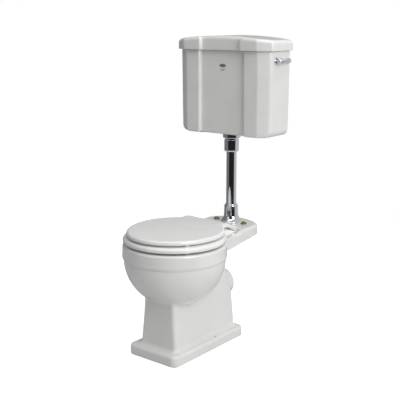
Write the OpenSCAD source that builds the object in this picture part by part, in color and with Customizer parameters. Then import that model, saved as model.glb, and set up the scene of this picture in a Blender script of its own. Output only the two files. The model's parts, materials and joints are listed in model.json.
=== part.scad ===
// Medium-level toilet: floor-standing pan, china cistern on the wall and an exposed flush pipe.
// X points right, Y points to the wall, Z points up. The origin is on the floor,
// under the middle of the whole suite. All sizes are in millimetres.

/* [Pan] */
// Height of the raised shelf above the floor
pan_h = 411; // [400:1:425]
// Drop from the raised shelf to the rim
shelf_step = 10; // [6:1:12]
// Width of the foot
foot_w = 218; // [210:1:230]
// Length of the foot
foot_l = 398; // [390:1:410]
// Outer radius of the rim's round ends
rim_r = 183; // [178:1:186]
// Straight length between the rim's round ends
rim_straight = 1; // [0:1:6]
// Height of the flat band round the rim
rim_band = 52; // [46:1:58]
// Half the width of the shelf
shelf_hw = 113; // [105:1:120]
// Height of the outlet's centre
outlet_z = 187; // [184:1:190]
// Outer radius of the outlet spigot
outlet_r = 51; // [50:0.5:52]
// Inner radius of the outlet spigot
outlet_bore = 41; // [38:0.5:42]

/* [Seat] */
// Thickness of the seat ring
seat_t = 17; // [14:1:20]
// Thickness of the lid
lid_t = 16; // [14:1:18]
// Gap that the buffers leave under the seat and the lid
buffer_h = 7; // [5:1:8]
// Distance of each hinge from the middle
hinge_x = 77; // [70:1:80]

/* [Cistern] */
// Half the width of the cistern body
tank_hw = 200; // [196:1:204]
// Depth of the cistern body
tank_d = 146; // [142:1:150]
// Height of the cistern body's underside above the floor
tank_z = 748; // [740:1:760]
// Height of the cistern body
tank_h = 302; // [295:1:310]
// Thickness of the china walls
tank_wall = 8; // [7:0.5:9]
// How far the centre panel is set back
panel_step = 12; // [8:1:13]
// Half the width of the centre panel
panel_hw = 98; // [90:1:104]
// Width of the corner chamfers
corner_x = 41; // [36:1:44]
// Depth of the corner chamfers
corner_y = 23; // [20:1:28]
// How far the cistern lid overhangs
lid_over = 11; // [8:1:12]
// Height of the cistern lid
clid_h = 51; // [48:1:54]

/* [Flush pipe] */
// Outer radius of the flush pipe
pipe_r = 19; // [18.5:0.5:19]
// Wall of the flush pipe
pipe_wall = 1.5; // [1:0.1:1.8]

/* [Flush lever] */
// Height of the lever's spindle
lever_z = 1016; // [1010:1:1020]
// Radius of the crank inside the cistern
crank_r = 24; // [22:0.5:25]
// Angle of the crank below level at rest
crank_a = 20; // [18:1:22]

/* [Fill valve] */
// Length of the float arm, pivot to ball centre
arm_l = 82; // [78:1:83]
// Angle of the float arm below level when the cistern is empty
arm_a = 50; // [48:1:52]
// Radius of the float ball
ball_r = 34; // [30:1:34]

/* [Hidden] */
$fn = 64;

china = [0.93, 0.93, 0.92];
seat_white = [0.97, 0.97, 0.97];
chrome = [0.75, 0.77, 0.8];
brass = [0.72, 0.58, 0.3];
rubber = [0.15, 0.15, 0.16];
plastic_white = [0.88, 0.88, 0.86];
plastic_grey = [0.6, 0.62, 0.64];

foot_y = -42;                          // middle of the foot
rear_c = foot_y - 68;                  // centre of the rim's rear round end
front_c = rear_c - rim_straight;       // centre of the rim's front round end
rim_z = pan_h - shelf_step;
shelf_t = 39;
slab_z = pan_h - shelf_t;
shelf_front_y = foot_y + 181;          // front edge of the raised shelf
shelf_end_c = foot_y + 256;
shelf_end_l = 75;
pipe_y = foot_y + 260;
inlet_r = 27;
outlet_end_y = foot_y + 217;
bolt_x = 63;
bolt_y = foot_y + 254;
floor_hole_x = 95;
floor_hole_y = foot_y + 42;
floor_hole_r = 5;

// Outside and inside of the bowl as half profiles, radius against height
bowl_out_r = rim_r - 5;
bowl_out_h = 173;
bowl_top = rim_z - rim_band;
bowl_outer = concat(
  [[0, rim_z], [rim_r - 2, rim_z], [rim_r, rim_z - 2], [rim_r, bowl_top + 4], [bowl_out_r, bowl_top]],
  [for (a = [10:10:80]) [bowl_out_r * cos(a), bowl_top - bowl_out_h * sin(a)]],
  [[0, bowl_top - bowl_out_h]]
);

lip_r = 135;
lip_t = 7;
lip_z = rim_z - 33;
bowl_in_r = 163;
bowl_in_h = 150;
sump_z = 88;
sump_r = 46;
bowl_inner = concat(
  [[0, rim_z + 1], [lip_r, rim_z + 1], [lip_r, lip_z]],
  [[lip_r + lip_t + 1, lip_z], [lip_r + lip_t + 1, lip_z - 6]],
  [for (a = [0:10:60]) [bowl_in_r * cos(a), bowl_top - bowl_in_h * sin(a)]],
  [[60, 208], [sump_r + 4, 160], [sump_r, sump_z], [0, sump_z]]
);
channel_r = 170;
channel_z = lip_z - 12;
channel_h = 34;

hinge_y = foot_y + 152;
hinge_z = rim_z + 19;
pin_r = 3;
hinge_clear = 0.05;
seat_z = rim_z + buffer_h;
seat_top = seat_z + seat_t;
lid_z = seat_top + buffer_h;
seat_r = rim_r - 3;
seat_tab = 123;                        // half the width of the seat at its straight rear edge
seat_rear = hinge_y - 36;
lid_r = rim_r - 15;
lid_front_c = front_c - 4;
lid_rear_c = rear_c + 10;
lid_tab = 99;                          // half the width of the lid at its straight rear edge
lid_rear = hinge_y - 31;
hole_r = 112;
hole_front_c = front_c - 9;
hole_rear_c = rear_c + 30;

tank_yr = foot_y + 336;
tank_yf = tank_yr - tank_d;
tank_top = tank_z + tank_h;
tank_floor = tank_z + 12;
wall_hole_x = 140;
wall_hole_z = 1005;
wall_hole_r = 4;

tail_r = 20;
tail_z = 708;
lever_y = foot_y + 244;
lever_x = tank_hw + 15.5;
flare_r = 10.5;
side_reach = lever_x + flare_r;
tip_y = lever_y - crank_r * cos(crank_a);
tip_z = lever_z - crank_r * sin(crank_a);
lug_z = 945;
riser_top = 985;

fill_y = pipe_y;
fill_z = 1000;
piv_x = -130;
piv_z = 988;
heel_a = 12.5;
ball_x = piv_x + arm_l * cos(arm_a);
ball_z = piv_z - arm_l * sin(arm_a);

// ---------- helpers ----------

// Rounded rectangle as a ring of points at height z
function ring(w, ya, yb, r, z) = [
  for (c = [[w - r, yb - r, 0], [-w + r, yb - r, 90], [-w + r, ya + r, 180], [w - r, ya + r, 270]])
    for (a = [0:18:90]) [c[0] + r * cos(c[2] + a), c[1] + r * sin(c[2] + a), z]
];

// Solid through a stack of rings that hold the same number of points
module loft(rings) {
  n = len(rings[0]);
  m = len(rings);
  sides = [for (k = [0:m - 2]) for (i = [0:n - 1]) let (j = (i + 1) % n, a = k * n, b = a + n)
    each [[a + i, b + i, b + j], [a + i, b + j, a + j]]];
  polyhedron(points = [for (r = rings) each r],
    faces = concat([[for (i = [0:n - 1]) i]], [[for (i = [n - 1:-1:0]) (m - 1) * n + i]], sides));
}

// Solid bowl shape: a half profile from the middle line, turned at both ends of a straight track
module track_spin(profile, yf, yr) {
  left = [for (i = [len(profile) - 2:-1:1]) [-profile[i][0], profile[i][1]]];
  for (y = [yf, yr]) translate([0, y, 0]) rotate_extrude($fn = 96) polygon(profile);
  translate([0, yr, 0]) rotate([90, 0, 0]) linear_extrude(yr - yf) polygon(concat(profile, left));
}

// Flat plate with two round ends
module track_plate(r, yf, yr, z, h) {
  for (y = [yf, yr]) translate([0, y, z]) cylinder(h = h, r = r, $fn = 96);
  translate([-r, yf, z]) cube([2 * r, yr - yf, h]);
}

// Round bar from one point to another
module bar(a, b, r) {
  d = b - a;
  l = norm(d);
  translate(a) rotate([0, acos(d[2] / l), atan2(d[1], d[0])]) cylinder(h = l, r = r);
}

// Cylinder along X, from x = a to x = b
module rod_x(a, b, y, z, r) {
  translate([a, y, z]) rotate([0, 90, 0]) cylinder(h = b - a, r = r);
}

// Cylinder along Y, from y = a to y = b
module rod_y(x, a, b, z, r) {
  translate([x, a, z]) rotate([-90, 0, 0]) cylinder(h = b - a, r = r);
}

// Tube along Z
module tube(x, y, z, h, ro, ri) {
  translate([x, y, z]) difference() {
    cylinder(h = h, r = ro);
    translate([0, 0, -1]) cylinder(h = h + 2, r = ri);
  }
}

module both_sides() {
  children();
  mirror([1, 0, 0]) children();
}

// ---------- pan ----------

module foot_solid() {
  hw = foot_w / 2;
  ya = foot_y - foot_l / 2;
  yb = foot_y + foot_l / 2;
  // height, share of the way in from the plinth's edge to the pedestal's wall
  steps = [[0, 0], [28, 0], [35, 0.1], [38, 0.3], [39.5, 0.5], [42, 0.68], [47, 0.84], [54, 0.95], [62, 1]];
  loft(concat(
    [for (s = steps) ring(hw - 30 * s[1], ya + 37 * s[1], yb - 22 * s[1], 24 - 8 * s[1], s[0])],
    [ring(71, foot_y - 159, foot_y + 177, 16, 165), ring(66, foot_y - 156, foot_y + 152, 16, 240),
     ring(62, foot_y - 120, foot_y + 140, 16, 300), ring(60, foot_y - 60, foot_y + 138, 16, slab_z + 5)]
  ));
}

module shelf_outline(front) {
  polygon(concat(
    [[-shelf_hw, front], [shelf_hw, front]],
    [for (a = [0:9:180]) [shelf_hw * cos(a), shelf_end_c + shelf_end_l * sin(a)]]
  ));
}

module trap_way() {
  bar([0, -94, 122], [0, 2, 122], 30);
  bar([0, -17, 108], [0, 53, 248], 29);
  bar([0, 30, 242], [0, 122, 180], 29.5);
  rod_y(0, 108, outlet_end_y + 1, outlet_z, outlet_bore);
}

module pan() {
  color(china) difference() {
    union() {
      track_spin(bowl_outer, front_c, rear_c);
      foot_solid();
      translate([0, 0, slab_z]) linear_extrude(rim_z - slab_z) shelf_outline(rear_c);
      translate([0, 0, slab_z + 5]) linear_extrude(shelf_t - 5) shelf_outline(shelf_front_y);
      rod_y(0, foot_y + 100, outlet_end_y, outlet_z, outlet_r);
      rod_y(0, foot_y + 100, outlet_end_y - 36, outlet_z, outlet_r + 4);
      translate([0, pipe_y, slab_z - 37]) cylinder(h = 40, r = 40);
      translate([-34, 60, slab_z - 27]) cube([68, pipe_y - 60, 30]);
    }
    track_spin(bowl_inner, front_c, rear_c);
    difference() {
      track_plate(channel_r, front_c, rear_c, channel_z, channel_h);
      track_plate(lip_r + lip_t, front_c, rear_c, channel_z - 1, channel_h + 2);
    }
    trap_way();
    translate([0, pipe_y, slab_z - 22]) cylinder(h = 80, r = inlet_r);
    rod_y(0, rear_c + 155, pipe_y, slab_z + 1, 13);
    // hollow of the foot, open to the floor
    translate([-62, foot_y - 134, -1]) cube([124, 282, 77]);
    translate([-48, 28, 50]) cube([96, 90, 75]);
    both_sides() {
      translate([bolt_x, bolt_y, slab_z - 30]) cylinder(h = 80, r = 5);
      translate([hinge_x, hinge_y, slab_z - 30]) cylinder(h = 80, r = 5.5);
      translate([floor_hole_x, floor_hole_y, -1]) cylinder(h = 60, r = floor_hole_r);
    }
  }
}

module shelf_bolts() {
  color(brass) both_sides() translate([bolt_x, bolt_y, 0]) {
    translate([0, 0, pan_h]) rotate_extrude()
      polygon([[0, 0], [11.5, 0], [11.5, 2.5], [9.5, 3.5], [9, 6], [7, 8.5], [4, 9.6], [0, 10]]);
    translate([0, 0, slab_z - 26]) cylinder(h = shelf_t + 27, r = 4);
  }
}

module shelf_bolt_washers() {
  color(rubber) both_sides() tube(bolt_x, bolt_y, slab_z - 3.2, 3, 13, 4.2);
}

module shelf_bolt_nuts() {
  color(brass) both_sides() translate([bolt_x, bolt_y, slab_z - 10.4]) difference() {
    cylinder(h = 7, r = 8.5, $fn = 6);
    translate([0, 0, -1]) cylinder(h = 9, r = 4.1);
  }
}

// ---------- flush pipe ----------

module flush_pipe() {
  color(chrome) tube(0, pipe_y, slab_z + 2, tail_z - 2 - slab_z - 2, pipe_r, pipe_r - pipe_wall);
}

module pan_connector() {
  color(rubber) translate([0, pipe_y, 0]) rotate_extrude() polygon([
    [pipe_r + 0.1, slab_z + 8], [inlet_r - 2, slab_z + 8], [inlet_r - 0.2, slab_z + 14],
    [inlet_r - 0.2, pan_h + 0.2], [30, pan_h + 0.2], [27, pan_h + 6], [pipe_r + 0.1, pan_h + 9]
  ]);
}

module bell_cover() {
  outside = [
    [38, 0], [37.6, 3], [33.5, 7.5], [29.5, 14], [27.4, 22], [26.5, 34], [26, 58], [25, 64], [22, 68]
  ];
  inside = [
    [20.6, 66.4], [23.6, 62.6], [24.5, 57.5], [25, 34], [25.9, 22], [28, 14], [32, 7], [36.2, 2], [36.5, 0]
  ];
  color(chrome) translate([0, pipe_y, pan_h + 0.1]) rotate_extrude()
    polygon(concat(outside, [[pipe_r + 0.4, 69], [pipe_r + 0.4, 67.2]], inside));
}

module coupling_nut() {
  color(chrome) translate([0, pipe_y, 0]) rotate_extrude() polygon([
    [pipe_r + 0.3, 679], [24, 679], [26.3, 681], [27.3, 685], [27.3, 729.5],
    [tail_r + 0.1, 729.5], [tail_r + 0.1, 702], [24, 700], [24, 690], [pipe_r + 0.3, 688]
  ]);
}

module coupling_olive() {
  color(rubber) tube(0, pipe_y, 690.2, 9.6, 23.8, pipe_r + 0.1);
}

module outlet_backnut() {
  color(chrome) tube(0, pipe_y, 730, tank_z - 730.2, 32.5, tail_r + 0.1);
}

// ---------- seat ----------

// Round plate that runs back to a straight rear edge with eased corners
module flap_plate(r, yf, yr, tab, rear, z, h) {
  track_plate(r, yf, yr, z, h);
  translate([-tab, yr, z]) cube([2 * tab, rear - 12 - yr, h]);
  translate([12 - tab, rear - 14, z]) cube([2 * tab - 24, 14, h]);
  both_sides() translate([tab - 12, rear - 12, z]) cylinder(h = h, r = 12);
}

module seat_ring() {
  color(seat_white) difference() {
    union() {
      flap_plate(seat_r, front_c, rear_c, seat_tab, seat_rear, seat_z, seat_t - 7);
      flap_plate(seat_r - 9, front_c, rear_c, seat_tab - 6, seat_rear - 4, seat_z + seat_t - 7, 7);
      both_sides() {
        translate([hinge_x - 25, 60, seat_z + 5]) cube([16.5, hinge_y - 60, seat_t - 5]);
        rod_x(hinge_x - 25, hinge_x - 8.5, hinge_y, hinge_z, 8);
      }
    }
    track_plate(hole_r, hole_front_c, hole_rear_c, seat_z - 1, seat_t + 2);
    both_sides() rod_x(hinge_x - 30, hinge_x, hinge_y, hinge_z, pin_r + hinge_clear);
  }
}

// Four round pads under a flap, at height z
module pads(z, h) {
  both_sides() {
    translate([127, front_c - 88, z]) cylinder(h = h, r = 9);
    translate([134, rear_c + 64, z]) cylinder(h = h, r = 9);
  }
}

module seat_buffers() { color(plastic_white) pads(rim_z + 0.3, buffer_h - 0.3); }

module seat_lid() {
  color(seat_white) difference() {
    union() {
      flap_plate(lid_r, lid_front_c, lid_rear_c, lid_tab, lid_rear, lid_z, lid_t - 4);
      flap_plate(lid_r - 5, lid_front_c, lid_rear_c, lid_tab - 5, lid_rear - 5, lid_z + lid_t - 4, 4);
      both_sides() {
        translate([hinge_x + 8.5, 62, lid_z]) cube([16.5, hinge_y - 62, lid_t - 6]);
        translate([hinge_x + 8.5, hinge_y - 6, hinge_z]) cube([16.5, 12, lid_z + 4 - hinge_z]);
        rod_x(hinge_x + 8.5, hinge_x + 25, hinge_y, hinge_z, 8);
      }
    }
    both_sides() rod_x(hinge_x, hinge_x + 30, hinge_y, hinge_z, pin_r + hinge_clear);
  }
}

module lid_buffers() { color(plastic_white) pads(seat_top + 0.3, buffer_h - 0.3); }

module hinge_posts() {
  color(chrome) both_sides() {
    difference() {
      union() {
        translate([hinge_x, hinge_y, rim_z]) cylinder(h = 4, r = 13);
        translate([hinge_x, hinge_y, rim_z]) cylinder(h = hinge_z - rim_z, r = 6.5);
        rod_x(hinge_x - 8, hinge_x + 8, hinge_y, hinge_z, 8);
      }
      rod_x(hinge_x - 20, hinge_x + 20, hinge_y, hinge_z, pin_r);
    }
    translate([hinge_x, hinge_y, slab_z - 22]) cylinder(h = rim_z - slab_z + 22, r = 4);
  }
}

module hinge_pins() {
  color(chrome) both_sides() rod_x(hinge_x - 24, hinge_x + 24, hinge_y, hinge_z, pin_r);
}

module hinge_washers() { color(rubber) both_sides() tube(hinge_x, hinge_y, slab_z - 3.2, 3, 13, 4.2); }

module hinge_nuts() {
  color(plastic_white) both_sides() tube(hinge_x, hinge_y, slab_z - 14.4, 11, 11, 4.1);
}

// ---------- cistern ----------

// Plan of the cistern, grown outward by g: stepped front, cut corners, flat back
function plan_points(g, back) = let (
  w = tank_hw + g,
  yf = tank_yf - g,
  cx = corner_x + g * 0.73,
  cy = corner_y + g * 0.43,
  p = panel_hw - g
) [
  [-w, back], [-w, yf + cy], [-w + cx, yf], [-p, yf], [-p, yf + panel_step],
  [p, yf + panel_step], [p, yf], [w - cx, yf], [w, yf + cy], [w, back]
];
module tank_plan(g, back) { polygon(plan_points(g, back)); }

// Side-to-side section of the cistern with rounded lower corners
module tank_section() {
  r = 22;
  polygon(concat(
    [[tank_hw, tank_top], [-tank_hw, tank_top]],
    [for (a = [180:15:270]) [-tank_hw + r + r * cos(a), tank_z + r + r * sin(a)]],
    [for (a = [270:15:360]) [tank_hw - r + r * cos(a), tank_z + r + r * sin(a)]]
  ));
}

module cistern_tank() {
  color(china) difference() {
    intersection() {
      translate([0, 0, tank_z]) linear_extrude(tank_h) tank_plan(0, tank_yr);
      translate([0, tank_yr, 0]) rotate([90, 0, 0]) linear_extrude(tank_d) tank_section();
    }
    intersection() {
      translate([0, 0, tank_floor]) linear_extrude(tank_h) tank_plan(-tank_wall, tank_yr - tank_wall);
      translate([-tank_hw + 20, tank_yf, tank_z]) cube([2 * tank_hw - 40, tank_d, tank_h + 1]);
    }
    translate([0, 0, tank_floor + 16]) linear_extrude(tank_h) tank_plan(-tank_wall, tank_yr - tank_wall);
    translate([0, pipe_y, tank_z - 1]) cylinder(h = 30, r = tail_r + 2);
    rod_x(tank_hw - 20, tank_hw + 1, lever_y, lever_z, 8);
    rod_x(-tank_hw - 1, -tank_hw + 20, fill_y, fill_z, 11);
    both_sides() rod_y(wall_hole_x, tank_yr - 20, tank_yr + 1, wall_hole_z, wall_hole_r);
  }
}

// One closed shell: up the recess, round the locating rim and the skirt, and over the crown
module cistern_lid() {
  // height above the cistern's top edge, distance in from the skirt
  steps = [
    [31, 24], [-8, 24], [-8, 20], [0, 20], [0, 0],
    [34, 0], [42, 3], [47, 10], [clid_h, 24]
  ];
  color(china) loft([for (s = steps)
    [for (q = plan_points(lid_over - s[1], tank_yr - s[1] / 2)) [q[0], q[1], tank_top + s[0]]]]);
}

// ---------- flush valve ----------

module valve_body() {
  cage_r = 36;
  color(plastic_white) translate([0, pipe_y, 0]) {
    difference() {
      union() {
        translate([0, 0, tail_z]) cylinder(h = tank_floor + 9 - tail_z, r = tail_r);
        translate([0, 0, tank_floor + 3]) cylinder(h = 6, r = cage_r);
      }
      translate([0, 0, tail_z - 1]) cylinder(h = 100, r = 16.5);
    }
    for (a = [45:90:315]) rotate([0, 0, a]) translate([cage_r - 3, 0, tank_floor + 8])
      cylinder(h = 66, r = 3);
    tube(0, 0, tank_floor + 72, 7, cage_r, 17);
  }
}

module valve_washer() { color(rubber) tube(0, pipe_y, tank_floor + 0.1, 2.8, 34, tail_r + 0.2); }

module valve_riser() {
  base_z = tank_floor + 12;
  color(plastic_grey) translate([0, pipe_y, 0]) {
    difference() {
      union() {
        translate([0, 0, base_z]) cylinder(h = 6, r = 28);
        translate([0, 0, base_z]) cylinder(h = riser_top - base_z, r = 16);
        translate([-3, tip_y - pipe_y - 4, lug_z - 5]) cube([6, pipe_y - tip_y - 8, 10]);
        rod_x(-3, 10, tip_y - pipe_y, lug_z, 2);
      }
      translate([0, 0, base_z - 1]) cylinder(h = riser_top, r = 13.5);
    }
  }
}

module valve_seal() { color(rubber) tube(0, pipe_y, tank_floor + 9.05, 2.9, 27, 14); }

// ---------- flush lever ----------

module lever_handle() {
  color(chrome) {
    difference() {
      union() {
        rod_x(tank_hw + 4.8, lever_x, lever_y, lever_z, 7);
        translate([lever_x, lever_y, lever_z]) sphere(r = 8.5);
      }
      rod_x(tank_hw, lever_x - 3, lever_y, lever_z, 5);
    }
    translate([lever_x, lever_y, lever_z]) rotate([-90, 0, 0]) rotate_extrude() polygon([
      [0, 5], [6, 6], [11, 6.5], [flare_r, 8], [flare_r - 1, 10], [8.5, 17], [6.3, 25], [5.6, 31],
      [6.6, 37], [8.8, 43], [9.6, 49], [9.2, 54], [7.4, 59], [4.2, 62.5], [0, 64]
    ]);
  }
}

module lever_rosette() {
  color(chrome) translate([tank_hw + 0.1, lever_y, lever_z]) rotate([0, 90, 0]) rotate_extrude() polygon([
    [8.1, 0], [13, 0], [13, 1.6], [11.5, 3], [9, 3.8], [8.1, 4]
  ]);
}

module lever_bush() {
  color(brass) difference() {
    rod_x(tank_hw - 20, tank_hw + 4, lever_y, lever_z, 7.9);
    rod_x(tank_hw - 21, tank_hw + 5, lever_y, lever_z, 5.05);
  }
}

module lever_backnut() {
  color(brass) translate([tank_hw - tank_wall - 6.2, lever_y, lever_z]) rotate([0, 90, 0]) difference() {
    cylinder(h = 6, r = 13, $fn = 6);
    translate([0, 0, -1]) cylinder(h = 8, r = 8);
  }
}

module lever_spindle() { color(brass) rod_x(tank_hw - 30, lever_x - 3, lever_y, lever_z, 5); }

module flush_arm() {
  x = tank_hw - 25;
  color(brass) {
    difference() {
      rod_x(x - 5, x + 3, lever_y, lever_z, 8);
      rod_x(x - 6, x + 4, lever_y, lever_z, 5);
    }
    difference() {
      bar([x, lever_y, lever_z], [x, tip_y, tip_z], 3);
      rod_x(x - 6, x + 4, lever_y, lever_z, 6);
    }
    rod_x(2, x + 3, tip_y, tip_z, 3);
  }
}

module lift_link() {
  color(plastic_grey) difference() {
    union() {
      rod_x(4.5, 8.5, tip_y, tip_z, 5.5);
      rod_x(4.5, 8.5, tip_y, lug_z, 6.2);
      translate([4.5, tip_y - 3, lug_z]) cube([4, 6, tip_z - lug_z]);
    }
    rod_x(4, 9, tip_y, tip_z, 3.3);
    rod_x(4, 9, tip_y, lug_z, 4.2);
  }
}

// ---------- fill valve ----------

module fill_valve_body() {
  inner_x = -tank_hw + tank_wall;
  color(brass) difference() {
    union() {
      rod_x(-side_reach, -side_reach + 16, fill_y, fill_z, 10.4);
      rod_x(-side_reach + 15, inner_x + 4, fill_y, fill_z, 10.2);
      rod_x(inner_x + 2.2, inner_x + 6, fill_y, fill_z, 16);
      rod_x(inner_x + 5, -139, fill_y, fill_z, 12);
      for (s = [-1, 1]) translate([-146, fill_y + s * 9 - 1.5, piv_z - 7]) cube([24, 3, 19]);
    }
    rod_x(-side_reach - 1, -160, fill_y, fill_z, 6);
    rod_x(-161, -138, fill_y, fill_z, 5.05);
    translate([-170, fill_y, fill_z - 20]) cylinder(h = 20, r = 4);
    rod_y(piv_x, fill_y - 12, fill_y + 12, piv_z, 2.2);
  }
}

module fill_nozzle() { color(plastic_white) tube(-170, fill_y, 880, fill_z - 12.4 - 880, 7, 4); }

module fill_valve_washer() {
  color(rubber) difference() {
    rod_x(-tank_hw + tank_wall + 0.1, -tank_hw + tank_wall + 2.1, fill_y, fill_z, 16);
    rod_x(-tank_hw, -tank_hw + 20, fill_y, fill_z, 10.6);
  }
}

module fill_valve_backnut() {
  color(brass) translate([-tank_hw - 8.2, fill_y, fill_z]) rotate([0, 90, 0]) difference() {
    cylinder(h = 8, r = 16, $fn = 6);
    translate([0, 0, -1]) cylinder(h = 10, r = 10.5);
  }
}

module fill_plunger() {
  color(plastic_white) translate([-152, fill_y, fill_z]) rotate([0, 90, 0]) rotate_extrude()
    polygon(concat([[0, 0], [5, 0], [5, 17]], [for (a = [15:15:90]) [5 * cos(a), 16 + 5 * sin(a)]]));
}

module float_pivot_pin() { color(brass) rod_y(piv_x, fill_y - 12, fill_y + 12, piv_z, 2.2); }

module float_arm() {
  end = arm_l - ball_r + 3;
  color(brass) difference() {
    union() {
      rod_y(piv_x, fill_y - 6, fill_y + 6, piv_z, 6);
      translate([piv_x, fill_y - 5, piv_z]) rotate([0, heel_a, 0]) translate([-2.6, 0, 0])
        cube([5.2, 10, 17]);
      bar([piv_x, fill_y, piv_z], [piv_x + end * cos(arm_a), fill_y, piv_z - end * sin(arm_a)], 2.6);
    }
    rod_y(piv_x, fill_y - 20, fill_y + 20, piv_z, 2.25);
  }
}

module float_ball() {
  color(plastic_grey) difference() {
    translate([ball_x, fill_y, ball_z]) sphere(r = ball_r);
    bar([piv_x, fill_y, piv_z], [piv_x + (arm_l - ball_r + 4) * cos(arm_a), fill_y,
      piv_z - (arm_l - ball_r + 4) * sin(arm_a)], 2.7);
  }
}

pan();
shelf_bolts();
shelf_bolt_washers();
shelf_bolt_nuts();
pan_connector();
bell_cover();
flush_pipe();
coupling_nut();
coupling_olive();
seat_ring();
seat_buffers();
seat_lid();
lid_buffers();
hinge_posts();
hinge_pins();
hinge_washers();
hinge_nuts();
cistern_tank();
cistern_lid();
outlet_backnut();
valve_body();
valve_washer();
valve_riser();
valve_seal();
lever_handle();
lever_rosette();
lever_bush();
lever_backnut();
lever_spindle();
flush_arm();
lift_link();
fill_valve_body();
fill_valve_washer();
fill_valve_backnut();
fill_nozzle();
fill_plunger();
float_pivot_pin();
float_arm();
float_ball();
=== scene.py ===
"""Medium-level toilet: china pan, seat and lid, chrome flush pipe and a wall-hung china cistern.

The CAD frame is loaded first. Every visible piece is then worked out with numpy as a surface over two
parameters, in metres, in the frame's own axes: +X right, +Y to the wall, +Z up.
"""

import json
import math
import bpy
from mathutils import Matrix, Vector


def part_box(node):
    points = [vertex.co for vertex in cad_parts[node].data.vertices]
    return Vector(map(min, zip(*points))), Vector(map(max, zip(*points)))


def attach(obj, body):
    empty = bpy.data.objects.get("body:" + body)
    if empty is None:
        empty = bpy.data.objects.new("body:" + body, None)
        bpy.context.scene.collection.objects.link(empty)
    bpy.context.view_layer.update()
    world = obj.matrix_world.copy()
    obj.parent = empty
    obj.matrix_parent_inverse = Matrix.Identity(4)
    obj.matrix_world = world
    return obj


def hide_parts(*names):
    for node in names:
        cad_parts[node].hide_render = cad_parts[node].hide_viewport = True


bl_info = {
    "name": "Medium Level Toilet",
    "version": (1, 0, 0),
    "blender": (4, 5, 0),
    "location": "View3D > Sidebar > Toilet",
    "description": "Builds the china, chrome, brass and seat of a medium-level toilet round its CAD frame",
    "category": "Object",
}

import bpy
import numpy as np
from bpy.props import FloatProperty, FloatVectorProperty, PointerProperty

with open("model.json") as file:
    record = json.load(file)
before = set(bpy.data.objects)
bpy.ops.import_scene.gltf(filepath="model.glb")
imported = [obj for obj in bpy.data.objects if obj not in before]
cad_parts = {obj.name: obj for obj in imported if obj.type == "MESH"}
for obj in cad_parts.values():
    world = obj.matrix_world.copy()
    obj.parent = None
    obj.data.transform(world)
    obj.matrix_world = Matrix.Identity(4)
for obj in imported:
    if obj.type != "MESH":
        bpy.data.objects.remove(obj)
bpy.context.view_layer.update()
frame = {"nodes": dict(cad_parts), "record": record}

MM = 0.001
TURN = 2 * math.pi


def box_of(node):
    """Lowest and highest corner of a CAD node, as two arrays."""
    low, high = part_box(node)
    return np.array(low), np.array(high)


# ---------- colour ----------


def srgb(text):
    """Turns an sRGB hex colour such as #a0b0c0 into linear red, green, blue and alpha."""
    values = [int(text[i : i + 2], 16) / 255 for i in (1, 3, 5)]
    return tuple(v / 12.92 if v <= 0.04045 else ((v + 0.055) / 1.055) ** 2.4 for v in values) + (1.0,)


# ---------- properties ----------


def length(name, description, default):
    """A length property in metres."""
    return FloatProperty(name=name, description=description, default=default, unit="LENGTH", min=0.0)


def colour(name, description, default):
    """A colour property whose default is an sRGB hex colour."""
    return FloatVectorProperty(
        name=name, description=description, default=srgb(default), size=4, subtype="COLOR", min=0.0, max=1.0
    )


class PanSizes(bpy.types.PropertyGroup):
    """Sizes of the china pan"""

    rim_radius: length("Rim radius", "Radius of the rim band at its foot", 0.1845)
    rim_edge: length("Rim edge", "Radius of the rim's outer edge", 0.009)
    band_height: length("Band height", "Height of the band round the rim", 0.053)
    band_proud: length("Band proud", "How far the band stands out from the bowl", 0.0055)
    bowl_depth: length("Bowl depth", "Height of the bowl's round underside", 0.173)
    plinth_height: length("Plinth height", "Height of the plinth's side", 0.038)
    cove: length("Cove", "Blend between the plinth and the pedestal", 0.020)


class SeatSizes(bpy.types.PropertyGroup):
    """Sizes of the seat ring and the lid"""

    seat_radius: length("Seat radius", "Radius of the seat ring's round part", 0.1805)
    lid_half_width: length("Lid half width", "Half the width of the lid", 0.1685)
    corner: length("Rear corner", "Radius of the seat's and lid's rear corners", 0.012)
    crown: length("Lid crown", "How much the lid rises to its middle", 0.0015)


class CisternSizes(bpy.types.PropertyGroup):
    """Sizes of the cistern and its lid"""

    taper: length("Taper", "How much narrower the cistern's side is at the bottom", 0.003)
    panel_step: length("Panel step", "How far the centre panel is set back", 0.012)
    lid_edge: length("Lid edge", "Radius of the cistern lid's top edge", 0.014)
    dome: length("Lid dome", "How much the lid rises from its ends to its middle", 0.013)


class FinishColours(bpy.types.PropertyGroup):
    """Colours of the finishes"""

    china: colour("China", "Glazed white china", "#EDEEEC")
    seat: colour("Seat", "White thermoset of the seat and lid", "#F1F1F0")
    chrome: colour("Chrome", "Chrome plate", "#E3E5E9")
    brass: colour("Brass", "Brass of the bolts and the valve fittings", "#8F8354")
    rubber: colour("Rubber", "Black rubber", "#1C1C1D")
    plastic: colour("White plastic", "White moulded plastic", "#E6E6E2")
    grey_plastic: colour("Grey plastic", "Grey moulded plastic", "#8B8F93")
    transfer: colour("Transfer", "Ink of the blank oval transfer", "#55564F")


# ---------- surfaces ----------


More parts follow.
